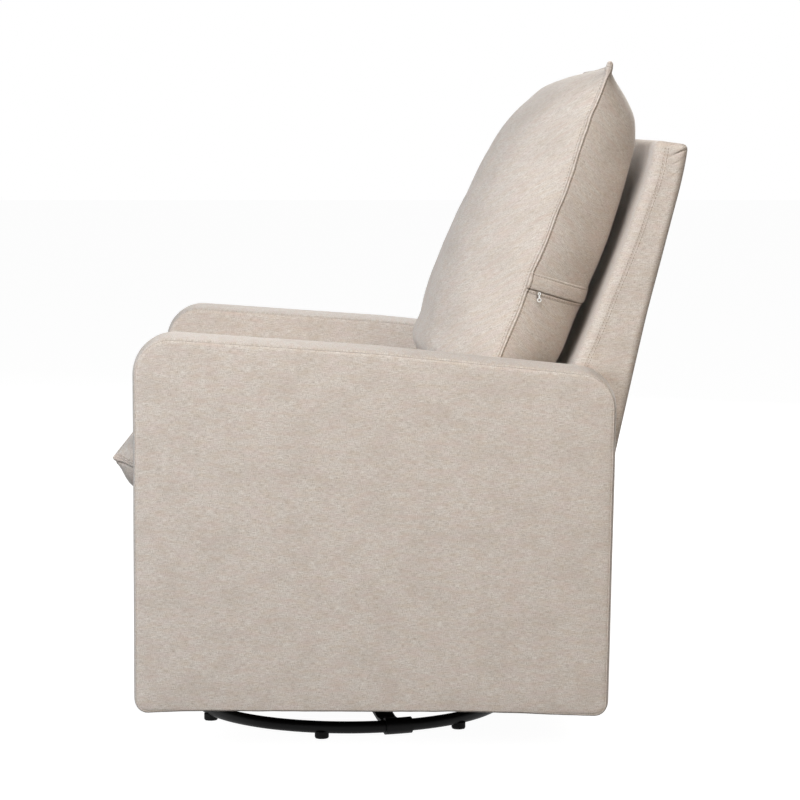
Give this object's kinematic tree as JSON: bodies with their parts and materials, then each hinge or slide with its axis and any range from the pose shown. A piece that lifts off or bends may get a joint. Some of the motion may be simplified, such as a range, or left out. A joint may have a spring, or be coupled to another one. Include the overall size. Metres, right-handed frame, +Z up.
{
  "type": "glider nursery chair",
  "caption": "Upholstered pillow-back armchair that glides level on four hanging links and swivels on a low ring base.",
  "frame": {"origin": "on the floor, in the middle of the chair's width and of its depth", "axes": "+Z up, the front of the chair faces -Y, the sitter's left arm is on +X"},
  "size_m": [0.79, 0.8718, 1.0436],
  "materials": {
    "linen_fabric": "matte",
    "black_steel": "satin",
    "foot_rubber": "matte",
    "race_steel": "satin",
    "ball_steel": "polished",
    "zinc_steel": "satin",
    "spring_steel": "satin",
    "cage_nylon": "matte",
    "bush_nylon": "satin",
    "frame_wood": "matte",
    "frame_plywood": "matte",
    "deck_felt": "matte",
    "elastic_webbing": "matte",
    "zip_tape": "matte",
    "zip_metal": "satin"
  },
  "bodies": {
    "base": {"base_ring": "black_steel", "rubber_feet": "foot_rubber", "ring_sleeves": "black_steel", "base_spokes": "black_steel", "hub_plate": "black_steel", "lower_race": "race_steel", "king_bolt": "zinc_steel", "king_nut": "zinc_steel"},
    "race_cage": {"ball_cage": "cage_nylon", "race_balls": "ball_steel"},
    "turntable": {"upper_race": "race_steel", "swivel_plate": "black_steel", "cross_channels": "black_steel", "side_plates": "black_steel", "upper_pins": "zinc_steel", "pin_clips": "zinc_steel", "glide_stops": "foot_rubber"},
    "front_left_link": {"link_front_left": "black_steel", "bushes_front_left": "bush_nylon"},
    "rear_left_link": {"link_rear_left": "black_steel", "bushes_rear_left": "bush_nylon"},
    "front_right_link": {"link_front_right": "black_steel", "bushes_front_right": "bush_nylon"},
    "rear_right_link": {"link_rear_right": "black_steel", "bushes_rear_right": "bush_nylon"},
    "seat": {"carriage_left": "black_steel", "carriage_right": "black_steel", "lower_pins": "zinc_steel", "carriage_bolts": "zinc_steel", "bearers": "frame_wood", "side_rails": "frame_wood", "front_rail": "frame_wood", "rear_rail": "frame_wood", "corner_blocks": "frame_wood", "seat_springs": "spring_steel", "spring_clips": "zinc_steel", "deck_pad": "deck_felt", "front_apron": "linen_fabric", "rear_apron": "linen_fabric", "back_posts": "frame_plywood", "back_rails": "frame_wood", "back_webbing": "elastic_webbing", "back_cover": "linen_fabric", "back_bolts": "zinc_steel", "arm_frame_left": "frame_plywood", "arm_frame_right": "frame_plywood", "arm_pad_left": "linen_fabric", "arm_pad_right": "linen_fabric", "arm_bolts": "zinc_steel", "seat_cushion": "linen_fabric", "back_pillow": "linen_fabric", "zip_placket": "linen_fabric", "zip_chain": "zip_tape", "zip_slider": "zip_metal"},
    "zip_tab": {"zip_pull": "zip_metal"}
  },
  "joints": [
    {"name": "swivel", "type": "hinge", "parent": "base", "child": "turntable", "pos_m": [0, -0.07789, 0.07], "axis": [0, 0, 1], "continuous": true},
    {"name": "cage_turn", "type": "hinge", "parent": "base", "child": "race_cage", "pos_m": [0, -0.07789, 0.068], "axis": [0, 0, 1], "continuous": true},
    {"name": "glide", "type": "hinge", "parent": "turntable", "child": "front_left_link", "pos_m": [0.165, -0.19789, 0.222], "axis": [1, 0, 0], "range_deg": [-27, 27]},
    {"name": "rear_left_swing", "type": "hinge", "parent": "turntable", "child": "rear_left_link", "pos_m": [0.165, 0.04211, 0.222], "axis": [1, 0, 0], "range_deg": [-27, 27]},
    {"name": "front_right_swing", "type": "hinge", "parent": "turntable", "child": "front_right_link", "pos_m": [-0.165, -0.19789, 0.222], "axis": [1, 0, 0], "range_deg": [-27, 27]},
    {"name": "rear_right_swing", "type": "hinge", "parent": "turntable", "child": "rear_right_link", "pos_m": [-0.165, 0.04211, 0.222], "axis": [1, 0, 0], "range_deg": [-27, 27]},
    {"name": "seat_level", "type": "hinge", "parent": "front_left_link", "child": "seat", "pos_m": [0.165, -0.19789, 0.102], "axis": [1, 0, 0], "range_deg": [-27, 27]},
    {"name": "zip_pull_swing", "type": "hinge", "parent": "seat", "child": "zip_tab", "pos_m": [0.27064, 0.21445, 0.69283], "axis": [0.9709, 0.2235, -0.0867], "range_deg": [-60, 60]}
  ],
  "couplings": [
    {"joint": "cage_turn", "follows": "swivel", "ratio": 0.5},
    {"joint": "rear_left_swing", "follows": "glide", "ratio": 1},
    {"joint": "front_right_swing", "follows": "glide", "ratio": 1},
    {"joint": "rear_right_swing", "follows": "glide", "ratio": 1},
    {"joint": "seat_level", "follows": "glide", "ratio": -1}
  ]
}
